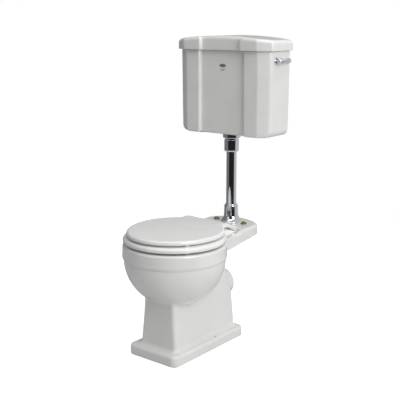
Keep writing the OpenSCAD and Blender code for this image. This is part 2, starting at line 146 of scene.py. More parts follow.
def make_mesh(name, vertices, quads, triangles):
    """Puts whole arrays of points, four-sided and three-sided faces into a smooth-shaded object.
    The faces are turned round if the volume that they enclose comes out negative."""
    parts = [quads[:, [0, 1, 2]], quads[:, [0, 2, 3]], triangles]
    a, b, c = (vertices[np.concatenate([p[:, k] for p in parts])] for k in range(3))
    if np.einsum("ij,ij->i", a, np.cross(b, c)).sum() < 0:
        quads, triangles = quads[:, ::-1], triangles[:, ::-1]
    mesh = bpy.data.meshes.new(name)
    mesh.vertices.add(len(vertices))
    mesh.vertices.foreach_set("co", vertices.astype(np.float32).ravel())
    mesh.loops.add(quads.size + triangles.size)
    mesh.loops.foreach_set("vertex_index", np.concatenate([quads.ravel(), triangles.ravel()]))
    mesh.polygons.add(len(quads) + len(triangles))
    starts = np.concatenate([np.arange(len(quads)) * 4, quads.size + np.arange(len(triangles)) * 3])
    mesh.polygons.foreach_set("loop_start", starts)
    mesh.update(calc_edges=True)
    mesh.shade_smooth()
    item = bpy.data.objects.new(name, mesh)
    bpy.context.scene.collection.objects.link(item)
    return item


def surface(name, points, closed=True):
    """Surface over a grid of points (rows, columns, 3) whose columns form a closed loop.
    With closed set, each end row is gathered to a pole in its middle; otherwise the last row
    joins the first, which makes a ring."""
    rows, columns = points.shape[:2]
    here = np.arange(rows * columns).reshape(rows, columns)
    below = here if not closed else here[:-1]
    above = np.roll(here, -1, axis=0) if not closed else here[1:]
    quads = np.stack([below, np.roll(below, -1, 1), np.roll(above, -1, 1), above], -1).reshape(-1, 4)
    vertices = points.reshape(-1, 3)
    triangles = np.zeros((0, 3), int)
    if closed:
        poles = np.array([points[0].mean(0), points[-1].mean(0)])
        first, last = here[0], here[-1]
        low = np.stack([np.roll(first, -1), first, np.full(columns, rows * columns)], -1)
        high = np.stack([last, np.roll(last, -1), np.full(columns, rows * columns + 1)], -1)
        vertices = np.concatenate([vertices, poles])
        triangles = np.concatenate([low, high])
    return make_mesh(name, vertices, quads, triangles)


def merge(name, pieces):
    """Joins objects into the first one and names it."""
    with bpy.context.temp_override(active_object=pieces[0], selected_editable_objects=pieces):
        bpy.ops.object.join()
    pieces[0].name = name
    pieces[0].data.name = name
    return pieces[0]


def sharpen(item, degrees=38):
    """Keeps edges sharper than this angle crisp and shades the rest smooth."""
    item.data.set_sharp_from_angle(angle=math.radians(degrees))
    return item


def cut(item, tool, operation):
    """Applies one exact boolean of tool to item, then removes the tool."""
    step = item.modifiers.new("Boolean", "BOOLEAN")
    step.operation = operation
    step.solver = "EXACT"
    step.object = tool
    with bpy.context.temp_override(object=item, active_object=item):
        bpy.ops.object.modifier_apply(modifier=step.name)
    bpy.data.objects.remove(tool)
    return item


def arc(x, y, radius, start, end, count=8):
    """Points of an arc round (x, y), from one angle in degrees to another."""
    a = np.radians(np.linspace(start, end, count))
    return np.stack([x + radius * np.cos(a), y + radius * np.sin(a)], -1)


def path(*stretches):
    """One profile from points and arcs, in order, in millimetres turned to metres."""
    return np.concatenate([np.atleast_2d(np.array(s, float)) for s in stretches]) * MM


AXES = {"X": ([0, 1, 0], [0, 0, 1], [1, 0, 0]), "Y": ([0, 0, 1], [1, 0, 0], [0, 1, 0]),
        "Z": ([1, 0, 0], [0, 1, 0], [0, 0, 1])}


def turned(name, profile, centre, axis="Z", sides=96, closed=True):
    """Surface of revolution: each profile point (radius, height) is carried round the axis, so that
    point = centre + radius * (cos a * across + sin a * over) + height * along."""
    across, over, along = (np.array(v, float) for v in AXES[axis])
    a = np.arange(sides) * TURN / sides
    ring = np.cos(a)[:, None] * across + np.sin(a)[:, None] * over
    points = np.array(centre) + profile[:, 0, None, None] * ring + profile[:, 1, None, None] * along
    return surface(name, points, closed)


# ---------- fields: negative inside, in metres ----------


def soft_min(a, b, blend):
    """The smaller of two distances, with a round blend of that width where they are equal."""
    h = np.clip(0.5 + 0.5 * (b - a) / blend, 0, 1)
    return b * (1 - h) + a * h - blend * h * (1 - h)


def round_off(side, cap, radius):
    """Both of two walls, with their common edge rounded to a radius."""
    a, b = side + radius, cap + radius
    return np.minimum(np.maximum(a, b), 0) + np.hypot(np.maximum(a, 0), np.maximum(b, 0)) - radius


def rounded_rectangle(x, y, half_width, front, rear, radius):
    """Distance to a rectangle with round corners, centred on x = 0."""
    middle = (front + rear) / 2
    return round_off(np.abs(x) - half_width, np.abs(y - middle) - (rear - front) / 2, radius)


def oval(x, y, centre, half_width, front, rear):
    """Oval norm: 1 on two half ellipses of one width that meet at y = centre, 0 in the middle."""
    reach_y = np.where(y < centre, front, rear)
    return np.hypot(x / half_width, (y - centre) / reach_y)


def reach(field, angle, origin_y, far=0.42):
    """Distance from (0, origin_y), along each angle from +Y towards +X, at which the field changes
    from inside to outside. The interval is halved for the whole array at once."""
    near = np.zeros_like(angle)
    far = np.full_like(angle, far)
    for _ in range(24):
        middle = (near + far) / 2
        inside = field(middle * np.sin(angle), origin_y + middle * np.cos(angle)) < 0
        near = np.where(inside, middle, near)
        far = np.where(inside, far, middle)
    return (near + far) / 2


def ring_points(angle, distance, origin_y, z):
    """Points at a distance from (0, origin_y) along each angle, at height z."""
    x = distance * np.sin(angle)
    y = origin_y + distance * np.cos(angle)
    return np.stack(np.broadcast_arrays(x, y, z), -1)


# ---------- pan ----------

PAN_HIGH = box_of("pan")[1]
DECK_Z = box_of("seat_buffers")[0][2] - 0.0003  # rim and rear deck
SHELF_Z = PAN_HIGH[2]  # raised shelf
RIM_Y = -0.1105  # middle of the rim
PIPE_Y = float(box_of("flush_pipe")[0][1] + box_of("flush_pipe")[1][1]) / 2
RAY_Y = -0.060  # every outside section is seen whole from this line
SHELF_HALF = 0.113
SHELF_ROUND_Y = 0.214
STEP_Y = 0.139  # front corners of the raised shelf
FOOT_HALF, FOOT_FRONT, FOOT_REAR = 0.109, -0.241, 0.157
OUTLET_Z, OUTLET_END = 0.187, 0.175
OUTLET_RADIUS, OUTLET_BORE = 0.051, 0.041
FLOOR_HOLE_X, FLOOR_HOLE_RADIUS = 0.095, 0.005


def plinth_and_pedestal(x, y, z, sizes):
    """A low plinth with a rounded top edge, blended by a cove into a pedestal whose half width, front
    and rear follow broken lines over the height."""
    levels = np.array([0.062, 0.115, 0.165, 0.240, 0.300, 0.377])
    half = np.interp(z, levels, [0.0795, 0.0745, 0.0705, 0.066, 0.062, 0.060])
    front = np.interp(z, levels, [-0.204, -0.202, -0.2005, -0.198, -0.162, -0.102])
    rear = np.interp(z, levels, [0.1355, 0.1355, 0.134, 0.110, 0.098, 0.096])
    pedestal = rounded_rectangle(x, y, half, front, rear, 0.011)
    plinth = rounded_rectangle(x, y, FOOT_HALF, FOOT_FRONT, FOOT_REAR, 0.022)
    plinth = round_off(plinth, z - sizes.plinth_height, 0.010)
    return soft_min(pedestal, plinth, sizes.cove)


def bowl_outside(x, y, z, sizes):
    """Upright round band over a half ball squashed in height, with a small bead where they meet."""
    band_z = DECK_Z - sizes.band_height
    radius = sizes.rim_radius - sizes.band_proud
    out = np.hypot(x, y - RIM_Y)
    down = np.maximum(band_z - z, 0) / sizes.bowl_depth
    bowl = (np.hypot(out / radius, down) - 1) * radius
    flare = 0.0035 * np.clip((DECK_Z - z) / sizes.band_height, 0, 1)
    band = out - (sizes.rim_radius - 0.0035 + flare)
    ledge = out - (sizes.rim_radius - sizes.band_proud * 0.5)
    stepped = soft_min(round_off(ledge, band_z - z, 0.002), round_off(band, band_z + 0.006 - z, 0.002), 0.002)
    return soft_min(bowl, stepped, 0.002)


def shelf_outline(x, y):
    """Straight sides that end in half an ellipse at the rear."""
    past = np.maximum(y - SHELF_ROUND_Y, 0)
    end = (np.hypot(x / SHELF_HALF, past / (PAN_HIGH[1] - SHELF_ROUND_Y)) - 1) * 0.085
    return np.where(past > 0, end, np.abs(x) - SHELF_HALF)


def shelf(x, y, z):
    """Slab whose underside slopes down to the bowl, with a duct under its middle."""
    under = 0.372 - 0.020 * np.clip((SHELF_ROUND_Y - y) / 0.154, 0, 1)
    slab = round_off(np.maximum(shelf_outline(x, y), -0.077 - y), under - z, 0.005)
    duct = round_off(rounded_rectangle(x, y, 0.040, 0.020, 0.258, 0.038), 0.338 - z, 0.010)
    return soft_min(slab, duct, 0.012)


def outlet_root(x, y, z):
    """Short round collar along Y, with an eased end, where the outlet spigot leaves the pedestal."""
    return round_off(np.hypot(x, z - OUTLET_Z) - 0.055, np.abs(y - 0.090) - 0.0485, 0.012)


def pan_columns():
    """Angles round the pan, with a close pair on each front corner of the raised shelf."""
    corner = math.atan2(SHELF_HALF, STEP_Y - RAY_Y)
    gap = 0.0026
    rear = np.linspace(-corner + gap, corner - gap, 60)
    front = np.linspace(corner + gap, TURN - corner - gap, 232)
    return np.concatenate([rear, front]), np.concatenate([rear < 9, front > 9])


def pan_outside(angle, raised, sizes):
    """Rows from the floor to the top edge: at each height the wall is where the blended field is zero."""
    edge = sizes.rim_edge
    top = np.where(raised, SHELF_Z, DECK_Z)
    quarter = np.radians(np.linspace(4, 86, 9))
    heights = np.concatenate([
        0.003 * (1 - np.cos(np.radians([25, 45, 65, 90]))),
        [0.010, 0.018, 0.026],
        0.027 + 0.011 * np.sin(quarter),
        0.038 + 0.034 * np.linspace(0.04, 1, 18) ** 1.8,
        np.linspace(0.078, 0.172, 18),
        np.linspace(0.175, 0.240, 30),
        np.linspace(0.246, 0.334, 18),
        np.linspace(0.337, 0.378, 38),
    ])
    low = np.repeat(heights[:, None], len(angle), 1)
    start = top - edge
    share = np.linspace(0, 1, 5)[1:, None]
    middle = 0.378 + (start - 0.378) * share
    crown = start + edge * np.sin(quarter)[:, None]
    z = np.concatenate([low, middle, crown])

    def field(x, y):
        """All parts of the outside blended, with the top edge and the floor edge rounded."""
        body = soft_min(plinth_and_pedestal(x, y, z, sizes), outlet_root(x, y, z), 0.018)
        body = soft_min(body, bowl_outside(x, y, z, sizes), 0.010)
        body = soft_min(body, shelf(x, y, z), 0.009)
        return round_off(round_off(body, z - top, edge), -z, 0.003)

    spread = np.broadcast_to(angle, z.shape)
    return ring_points(spread, reach(field, spread, RAY_Y), RAY_Y, z)


def step_line(x):
    """Front edge of the raised shelf: an arc that bows to the rear in the middle."""
    return STEP_Y + 0.010 * (1 - np.clip(x / SHELF_HALF, -1, 1) ** 2)


def pan_top(outer, inner, raised):
    """Rows from the top edge in to the bowl's mouth. On the shelf they bunch at its front edge,
    where the height falls from the shelf to the deck in an S."""
    start = np.zeros(len(outer))
    end = np.ones(len(outer))
    for _ in range(20):
        middle = (start + end) / 2
        at = outer + (inner - outer) * middle[:, None]
        behind = at[:, 1] > step_line(at[:, 0])
        start = np.where(behind, middle, start)
        end = np.where(behind, end, middle)
    span = np.linalg.norm((inner - outer)[:, :2], axis=1)
    half = np.where(raised, 0.0022 / span, 0.01)
    line = np.where(raised, np.maximum(start, half * 1.6), 0.04)
    first = np.linspace(0, 1, 10)[1:-1, None] * (line - half)
    across = np.linspace(-1, 1, 9)[:, None]
    second = line + across * half
    third = (line + half) + np.linspace(0, 1, 17)[1:, None] * (1 - line - half)
    w = np.concatenate([first, second, third])
    fall = 0.5 + 0.5 * np.sin(np.clip(across, -1, 1) * math.pi / 2)
    drop = np.concatenate([np.zeros((8, 1)), fall, np.ones((16, 1))])
    height = np.where(raised, SHELF_Z + (DECK_Z - SHELF_Z) * drop, DECK_Z)
    points = outer + (inner - outer) * w[..., None]
    points[..., 2] = height
    return points


def pan_inside(angle):
    """Rows over the rim's inner edge, out under the rim, up into the flush channel,
    down the bowl's wall and back into the throat."""
    quarter = np.radians(np.linspace(0, 90, 8))
    lip, deck = 0.135, DECK_Z
    levels = [(lip + 0.009 - 0.009 * math.sin(q), deck - 0.009 + 0.009 * math.cos(q), 0) for q in quarter]
    levels += [(lip, deck - 0.020, 0), (lip, deck - 0.029, 0)]
    under = quarter[2::2]
    levels += [(lip + 0.004 - 0.004 * math.cos(q), deck - 0.029 - 0.004 * math.sin(q), 0) for q in under]
    levels += [(lip + 0.010, deck - 0.033, 0), (lip + 0.013, deck - 0.031, 0), (lip + 0.014, deck - 0.020, 0)]
    levels += [(lip + 0.020, deck - 0.014, 0), (lip + 0.029, deck - 0.016, 0), (lip + 0.031, deck - 0.030, 0)]
    for t in np.radians(np.linspace(2, 56, 28)):
        levels.append((0.165 * math.cos(t), 0.352 - 0.150 * math.sin(t), 0.006 * (1 - math.cos(t))))
    last, end_z, end_back = levels[-1]
    for t in np.linspace(0, 1, 17)[1:]:
        squeeze = last + (0.040 - last) * math.sin(t * math.pi / 2)
        levels.append((squeeze, end_z - 0.125 * t**1.15, end_back + 0.014 * t**2))
    levels.append((0.020, levels[-1][1] - 0.004, levels[-1][2]))
    return np.stack([ring_points(angle, radius, RIM_Y + back, z) for radius, z, back in levels])


def pan_underside(angle, foot):
    """Rows from the middle of the hollow under the foot, down its wall and out along the floor."""
    hollow = reach(lambda x, y: rounded_rectangle(x, y, 0.062, -0.176, 0.106, 0.014), angle, RAY_Y)
    rows = [ring_points(angle, hollow * share, RAY_Y, 0.072) for share in (0.4, 0.8, 0.96)]
    rows += [ring_points(angle, hollow, RAY_Y, z) for z in (0.068, 0.040, 0.012, 0.002)]
    rows.append(ring_points(angle, hollow + 0.002, RAY_Y, 0.0))
    floor_edge = foot[0].copy()
    floor_edge[:, 2] = 0.0
    rows += [rows[-1] + (floor_edge - rows[-1]) * share for share in (0.5, 0.97)]
    return np.stack(rows)


def rod(name, radius, start, end, centre, axis, lip=0.0):
    """Plain round bar between two places along an axis, with its ends eased by a lip."""
    a, b = np.array([0.0, start]), np.array([0.0, end])
    eased = [[radius - lip, start], [radius, start + lip], [radius, end - lip], [radius - lip, end]]
    profile = np.array([a, *eased, b])
    profile[[0, -1], 0] = radius * 0.02
    return turned(name, profile, centre, axis, sides=64)


class TOILET_OT_pan(bpy.types.Operator):
    """Build the china pan: plinth, pedestal, bowl, rim, shelf and outlet in one casting"""

    bl_idname = "toilet.pan"
    bl_label = "Pan"

    def execute(self, context):
        sizes = context.scene.toilet_pan
        angle, raised = pan_columns()
        wall = pan_outside(angle, raised, sizes)
        inside = pan_inside(angle)
        top = pan_top(wall[-1], inside[0], raised)
        rows = np.concatenate([pan_underside(angle, wall), wall, top, inside[1:]])
        pan = surface("china_pan", rows)
        spigot = rod("spigot", OUTLET_RADIUS, 0.090, OUTLET_END, (0, 0, OUTLET_Z), "Y", 0.004)
        cut(pan, spigot, "UNION")
        cut(pan, rod("bore", OUTLET_BORE, 0.108, 0.200, (0, 0, OUTLET_Z), "Y"), "DIFFERENCE")
        for side in (-1, 1):
            hole = rod("hole", FLOOR_HOLE_RADIUS, -0.01, 0.075, (FLOOR_HOLE_X * side, 0, 0), "Z")
            cut(pan, hole, "DIFFERENCE")
        sharpen(pan)
        dress(pan, "root", "china", vitreous_china(), "pan")
        return {"FINISHED"}


# ---------- seat and lid ----------

SEAT_TOP = box_of("seat_ring")[1][2]
LID_TOP = box_of("seat_lid")[1][2]
HINGE_Y = 0.110
HINGE_Z = 0.420
BARREL_RADIUS, EAR_TIP_RADIUS, EAR_TIP_Y, EAR_HALF = 0.0082, 0.0052, 0.066, 0.00825
SEAT_EAR_X, LID_EAR_X = 0.06025, 0.09375
HOLE_Y, HOLE_HALF_WIDTH, HOLE_HALF_LENGTH = -0.100, 0.112, 0.132
SEAT_BOTTOM = 0.408
LID_BOTTOM = 0.432


def flap_angles():
    """Angles round a flap, crowded where its rear corners are."""
    corner = np.radians(np.linspace(18, 48, 110))
    rear = np.radians(np.linspace(-18, 18, 32))[1:-1]
    front = np.radians(np.linspace(48, 312, 236))[1:-1]
    return np.concatenate([rear, corner, front, TURN - corner[::-1]])


def seat_outline(x, y, sizes):
    """Circle round the rim's middle, joined to a block that ends straight in front of the hinges."""
    circle = np.hypot(x, y - RIM_Y) - sizes.seat_radius
    return soft_min(circle, rounded_rectangle(x, y, 0.123, -0.06, 0.074, sizes.corner), 0.004)


def lid_outline(x, y, sizes):
    """Oval, joined by a hollow curve to a narrower block that ends straight in front of the hinges."""
    half = sizes.lid_half_width
    egg = (oval(x, y, -0.097, half, half + 0.018, half - 0.004) - 1) * half
    return soft_min(egg, rounded_rectangle(x, y, 0.097, -0.06, 0.079, sizes.corner), 0.016)


def flap_rings(outline, profile, sizes):
    """Carries a profile of (inset, height) along an outline: each ring is where the outline's
    distance equals minus the inset."""
    angle = flap_angles()

    def ring(inset, z):
        """One ring of the outline, moved in by the inset."""
        edge = reach(lambda x, y: outline(x, y, sizes) + inset, angle, RIM_Y)
        return ring_points(angle, edge, RIM_Y, z)

    return np.stack([ring(inset, z) for inset, z in profile])


def ear(x0, x1, tip_z):
    """Hinge ear: the hull of a round barrel on the hinge axis and a smaller round at the flap, carried
    along X with eased ends. Each outline point is the farther of the two circles in its direction."""
    a = np.arange(96) * TURN / 96
    out = np.stack([np.cos(a), np.sin(a)], -1)
    ease = np.array([[0, 0.6], [0.0004, 0.25], [0.0015, 0]]) * [[1, 0.004]]
    levels = [(x0 + d, i) for d, i in ease] + [(x1 - d, i) for d, i in ease[::-1]]
    barrel, tip = np.array([HINGE_Y, HINGE_Z]), np.array([EAR_TIP_Y, tip_z])
    rows = []
    for x, inset in levels:
        big, small = BARREL_RADIUS - inset, EAR_TIP_RADIUS - inset
        far = (out @ barrel + big) > (out @ tip + small)
        points = np.where(far[:, None], barrel + big * out, tip + small * out)
        rows.append(np.stack([np.full(96, x), points[:, 0], points[:, 1]], -1))
    return surface("ear", np.stack(rows))


class TOILET_OT_seat(bpy.types.Operator):
    """Build the seat ring with its crowned top and the ears on its hinge"""

    bl_idname = "toilet.seat"
    bl_label = "Seat ring"

    def execute(self, context):
        sizes = context.scene.toilet_seat
        angle = flap_angles()
        quarter = np.radians(np.linspace(0, 90, 9))
        low, high = SEAT_BOTTOM + 0.0004, SEAT_TOP - 0.002
        under = [(0.004 - 0.004 * math.sin(q), low + 0.004 - 0.004 * math.cos(q)) for q in quarter]
        over = [(0.013 - 0.013 * math.cos(q), high - 0.010 + 0.010 * math.sin(q)) for q in quarter]
        outside = flap_rings(seat_outline, under + over, sizes)

        def opening(x, y):
            """The seat's oval hole."""
            norm = oval(x, y, HOLE_Y, HOLE_HALF_WIDTH, HOLE_HALF_LENGTH, HOLE_HALF_LENGTH)
            return (norm - 1) * HOLE_HALF_WIDTH

        hole = reach(opening, angle, RIM_Y)
        inner_top = ring_points(angle, hole + 0.012, RIM_Y, high)
        share = np.linspace(0, 1, 14)[1:, None, None]
        top = outside[-1] + (inner_top - outside[-1]) * share
        top[..., 2] += 0.0022 * np.sin(math.pi * share[..., 0])
        round_in = [(0.012 - 0.012 * math.sin(q), high - 0.010 + 0.010 * math.cos(q)) for q in quarter[1:]]
        round_out = [(0.004 - 0.004 * math.cos(q), low + 0.004 - 0.004 * math.sin(q)) for q in quarter]
        inside = np.stack([ring_points(angle, hole + d, RIM_Y, z) for d, z in round_in + round_out])
        bottom = inside[-1] + (outside[0] - inside[-1]) * np.linspace(0, 1, 10)[1:-1, None, None]
        ring = surface("seat_ring_moulding", np.concatenate([outside, top, inside, bottom]), closed=False)
        sharpen(ring)
        dress(ring, "seat", "seat_white", thermoset(), "seat_ring")
        ears = [ear(x - EAR_HALF, x + EAR_HALF, 0.4170) for x in (-SEAT_EAR_X, SEAT_EAR_X)]
        dress(merge("seat_ears", ears), "seat", "seat_white", thermoset())
        return {"FINISHED"}


class TOILET_OT_lid(bpy.types.Operator):
    """Build the closed lid with its rounded edge and slight crown"""

    bl_idname = "toilet.lid"
    bl_label = "Lid"

    def execute(self, context):
        sizes = context.scene.toilet_seat
        quarter = np.radians(np.linspace(0, 90, 9))
        low, high = LID_BOTTOM + 0.0002, LID_TOP - 0.001
        profile = [(0.060, low + 0.003), (0.024, low + 0.003), (0.021, low + 0.0005), (0.012, low)]
        profile += [(0.004 - 0.004 * math.sin(q), low + 0.004 - 0.004 * math.cos(q)) for q in quarter]
        profile += [(0.008 - 0.008 * math.cos(q), high - 0.009 + 0.009 * math.sin(q)) for q in quarter]
        edge = flap_rings(lid_outline, profile, sizes)
        share = np.linspace(0, 1, 22)[1:-1, None, None]
        middle = np.array([0, RIM_Y, high])
        crown = edge[-1] + (middle - edge[-1]) * share
        crown[..., 2] += sizes.crown * (1 - (1 - share[..., 0]) ** 2)
        lid = surface("seat_lid_moulding", np.concatenate([edge, crown]))
        sharpen(lid)
        dress(lid, "lid", "seat_white", thermoset(), "seat_lid")
        ears = [ear(x - EAR_HALF, x + EAR_HALF, 0.4385) for x in (-LID_EAR_X, LID_EAR_X)]
        dress(merge("lid_ears", ears), "lid", "seat_white", thermoset())
        return {"FINISHED"}


# ---------- cistern ----------

TANK_LOW, TANK_HIGH = box_of("cistern_tank")
COVER_HIGH = box_of("cistern_lid")[1]
TANK_HALF = TANK_HIGH[0]
TANK_FRONT, TANK_BACK = TANK_LOW[1], TANK_HIGH[1]
TANK_TOP = TANK_HIGH[2]
PANEL_HALF = 0.098
CORNER_X, CORNER_Y = 0.041, 0.023
WALL = 0.008
WALL_HOLE_X, WALL_HOLE_Z, WALL_HOLE_RADIUS = 0.140, 1.005, 0.004
TRANSFER_Z = 0.996


def rounded_outline(corners, radii, arc_points=8, edge_points=10):
    """Closed outline of a polygon whose corners are arcs. Each arc starts and ends at radius / tan(half
    the corner's angle) from the corner, and its points are turned evenly round the arc's centre."""
    corners, radii = np.array(corners), np.array(radii)[:, None]
    back = np.roll(corners, 1, 0) - corners
    ahead = np.roll(corners, -1, 0) - corners
    back /= np.linalg.norm(back, axis=1)[:, None]
    ahead /= np.linalg.norm(ahead, axis=1)[:, None]
    half = np.arccos(np.clip((back * ahead).sum(1), -1, 1))[:, None] / 2
    start, end = corners + back * radii / np.tan(half), corners + ahead * radii / np.tan(half)
    bisector = back + ahead
    centre = corners + bisector / np.linalg.norm(bisector, axis=1)[:, None] * radii / np.sin(half)
    sweep = (math.pi - 2 * half)[:, None]
    t = np.linspace(0, 1, arc_points)[None, :, None]
    arcs = centre[:, None] + (
        np.sin((1 - t) * sweep) * (start - centre)[:, None] + np.sin(t * sweep) * (end - centre)[:, None]
    ) / np.sin(sweep)
    t = (np.arange(edge_points) + 1)[None, :, None] / (edge_points + 1)
    edges = end[:, None] + (np.roll(start, -1, 0) - end)[:, None] * t
    return np.concatenate([arcs, edges], 1).reshape(-1, 2)


def cistern_plan(side, front, back, step, z):
    """Plan of the cistern grown by the given amounts: cut corners, two outer panels and a centre
    panel set back by a step. z is one height or one per point."""
    w, yf, yb = TANK_HALF + side, TANK_FRONT - front, TANK_BACK + back
    cut_x, cut_y = CORNER_X + side * 0.73, CORNER_Y + front * 0.43
    p = PANEL_HALF - front
    corners = [
        (-w, yb), (-w, yf + cut_y), (-w + cut_x, yf), (-p, yf), (-p, yf + step),
        (p, yf + step), (p, yf), (w - cut_x, yf), (w, yf + cut_y), (w, yb),
    ]
    radii = [0.006, 0.011, 0.020, 0.0055, 0.0045, 0.0045, 0.0055, 0.020, 0.011, 0.006]
    plan = rounded_outline(corners, radii)
    return np.concatenate([plan, np.broadcast_to(z, len(plan))[:, None]], 1)


class TOILET_OT_cistern(bpy.types.Operator):
    """Build the open china cistern: stepped front, cut corners, rounded lower edges and its inside"""

    bl_idname = "toilet.cistern"
    bl_label = "Cistern"

    def execute(self, context):
        sizes = context.scene.toilet_cistern
        step = sizes.panel_step
        low = TANK_LOW[2]

        def sag(radius, h):
            """Inset of a rounded lower edge at height h above the underside."""
            return -(radius - np.sqrt(np.maximum(radius**2 - np.maximum(radius - h, 0) ** 2, 0)))

        def taper(z):
            """Inset that grows in a straight line from the top to the underside."""
            return -sizes.taper * (TANK_TOP - z) / (TANK_TOP - low)

        def outside(h):
            """The plan at height h above the underside, less the taper and the rounded edge."""
            z = low + h
            return cistern_plan(taper(z) + sag(0.023, h), taper(z) * 0.6 + sag(0.008, h), 0, step, z)

        heights = 0.023 * (1 - np.cos(np.radians(np.linspace(8, 90, 16))))
        rows = [outside(h) for h in np.concatenate([heights, np.linspace(0.04, TANK_TOP - low - 0.003, 12)])]
        rows.append(cistern_plan(-0.0009, -0.0009, 0, step, TANK_TOP - 0.0009))
        rows.append(cistern_plan(-0.003, -0.003, -0.003, step, TANK_TOP))
        for inset, z in ((0.006, TANK_TOP), (WALL, TANK_TOP - 0.002), (WALL, 0.90), (WALL, low + 0.040)):
            rows.append(cistern_plan(-inset, -inset, -inset, step, z))
        for inset, z in ((0.010, low + 0.026), (0.018, low + 0.016), (0.030, low + 0.012)):
            rows.append(cistern_plan(-inset, -min(inset, 0.012), -min(inset, 0.012), step, z))
        centre = np.array([0, (TANK_FRONT + TANK_BACK) / 2, 0])
        flat = rows[0] * [1, 1, 0] + [0, 0, low]
        under_middle = centre + [0, 0, low]
        underside = [under_middle + (flat - under_middle) * share for share in (0.3, 0.7, 0.98)]
        floor = rows[-1]
        floor_middle = centre + [0, 0, low + 0.012]
        rows = underside + rows + [floor_middle + (floor - floor_middle) * share for share in (0.7, 0.3)]
        tank = surface("china_cistern", np.stack(rows))
        for side in (-1, 1):
            centre = (WALL_HOLE_X * side, 0, WALL_HOLE_Z)
            hole = rod("hole", WALL_HOLE_RADIUS, TANK_BACK - 0.02, TANK_BACK + 0.02, centre, "Y")
            cut(tank, hole, "DIFFERENCE")
        sharpen(tank, 50)
        dress(tank, "root", "china", vitreous_china(), "cistern_tank")
        return {"FINISHED"}


class TOILET_OT_cistern_lid(bpy.types.Operator):
    """Build the overhanging cistern lid, domed along its length"""

    bl_idname = "toilet.cistern_lid"
    bl_label = "Cistern lid"

    def execute(self, context):
        sizes = context.scene.toilet_cistern
        step, edge = sizes.panel_step, sizes.lid_edge
        over = COVER_HIGH[0] - TANK_HALF
        quarter = np.radians(np.linspace(0, 90, 12))

        def dome(x):
            """Height of the top along the lid: a parabola, highest in the middle."""
            return COVER_HIGH[2] - sizes.dome * (x / TANK_HALF) ** 2

        def level(grow, back, z):
            """The cistern's plan grown to the front and sides, and to the back."""
            return cistern_plan(grow, grow, back, step, z)

        rows = [level(-0.015, -0.015, TANK_TOP + z) for z in (0.031, 0.010, -0.007)]
        rows += [level(-0.013, -0.013, TANK_TOP - 0.008), level(-0.010, -0.010, TANK_TOP - 0.008)]
        rows += [level(-0.0095, -0.0095, TANK_TOP + 0.0002), level(0.002, -0.001, TANK_TOP + 0.0004)]
        rows += [level(over - 0.002, 0, TANK_TOP + 0.0004), level(over - 0.0003, 0, TANK_TOP + 0.001)]
        rows.append(level(over, 0, TANK_TOP + 0.003))
        skirt = level(over, 0, 0)
        for share in (0.35, 0.7):
            z = TANK_TOP + 0.003 + (dome(skirt[:, 0]) - edge - TANK_TOP - 0.003) * share
            rows.append(level(over, 0, z))
        for q in quarter:
            inset = edge * (1 - math.cos(q))
            ring = level(over - inset, -inset * 0.5, 0)
            ring[:, 2] = dome(ring[:, 0]) - edge * (1 - math.sin(q))
            rows.append(ring)
        crown = rows[-1]
        spine = crown * [0.86, 0, 0] + [0, (TANK_FRONT + TANK_BACK) / 2, 0]
        for share in np.linspace(0, 1, 10)[1:]:
            ring = crown + (spine - crown) * share
            ring[:, 2] = dome(ring[:, 0])
            rows.append(ring)
        lid = surface("china_cistern_lid", np.stack(rows))
        sharpen(lid, 50)
        dress(lid, "cistern_cover", "china", vitreous_china(), "cistern_lid")
        return {"FINISHED"}


class TOILET_OT_transfer(bpy.types.Operator):
    """Build the small blank oval transfer on the cistern's centre panel"""

    bl_idname = "toilet.transfer"
    bl_label = "Transfer"

    def execute(self, context):
        panel_y = TANK_FRONT + context.scene.toilet_cistern.panel_step
        a = np.arange(64) * TURN / 64
        centre = np.array([0.0, panel_y, TRANSFER_Z])

        def plate(name, half_x, half_z, lift, bend):
            """Thin oval plate: a superellipse, bent along a parabola and 0.25 mm thick."""
            rows = []
            back = [(0.5, 0.0008), (0.98, 0.0008)]
            face = [(1.0, -0.0001), (1.0, -0.0004), (0.97, -0.0005), (0.5, -0.0005)]
            for size, out in back + face:
                x = half_x * size * np.cos(a)
                z = half_z * size * np.sin(a) + lift + bend * (x / half_x) ** 2
                rows.append(np.stack([x, np.full(64, out), z], -1) + centre)
            return surface(name, np.stack(rows))

        badge = plate("badge", 0.0140, 0.0055, 0.0, 0.0)
        swash = plate("swash", 0.0100, 0.0012, -0.0155, 0.004)
        dress(merge("blank_transfer", [badge, swash]), "root", "china", ink_transfer())
        return {"FINISHED"}


# ---------- chrome and brass ----------


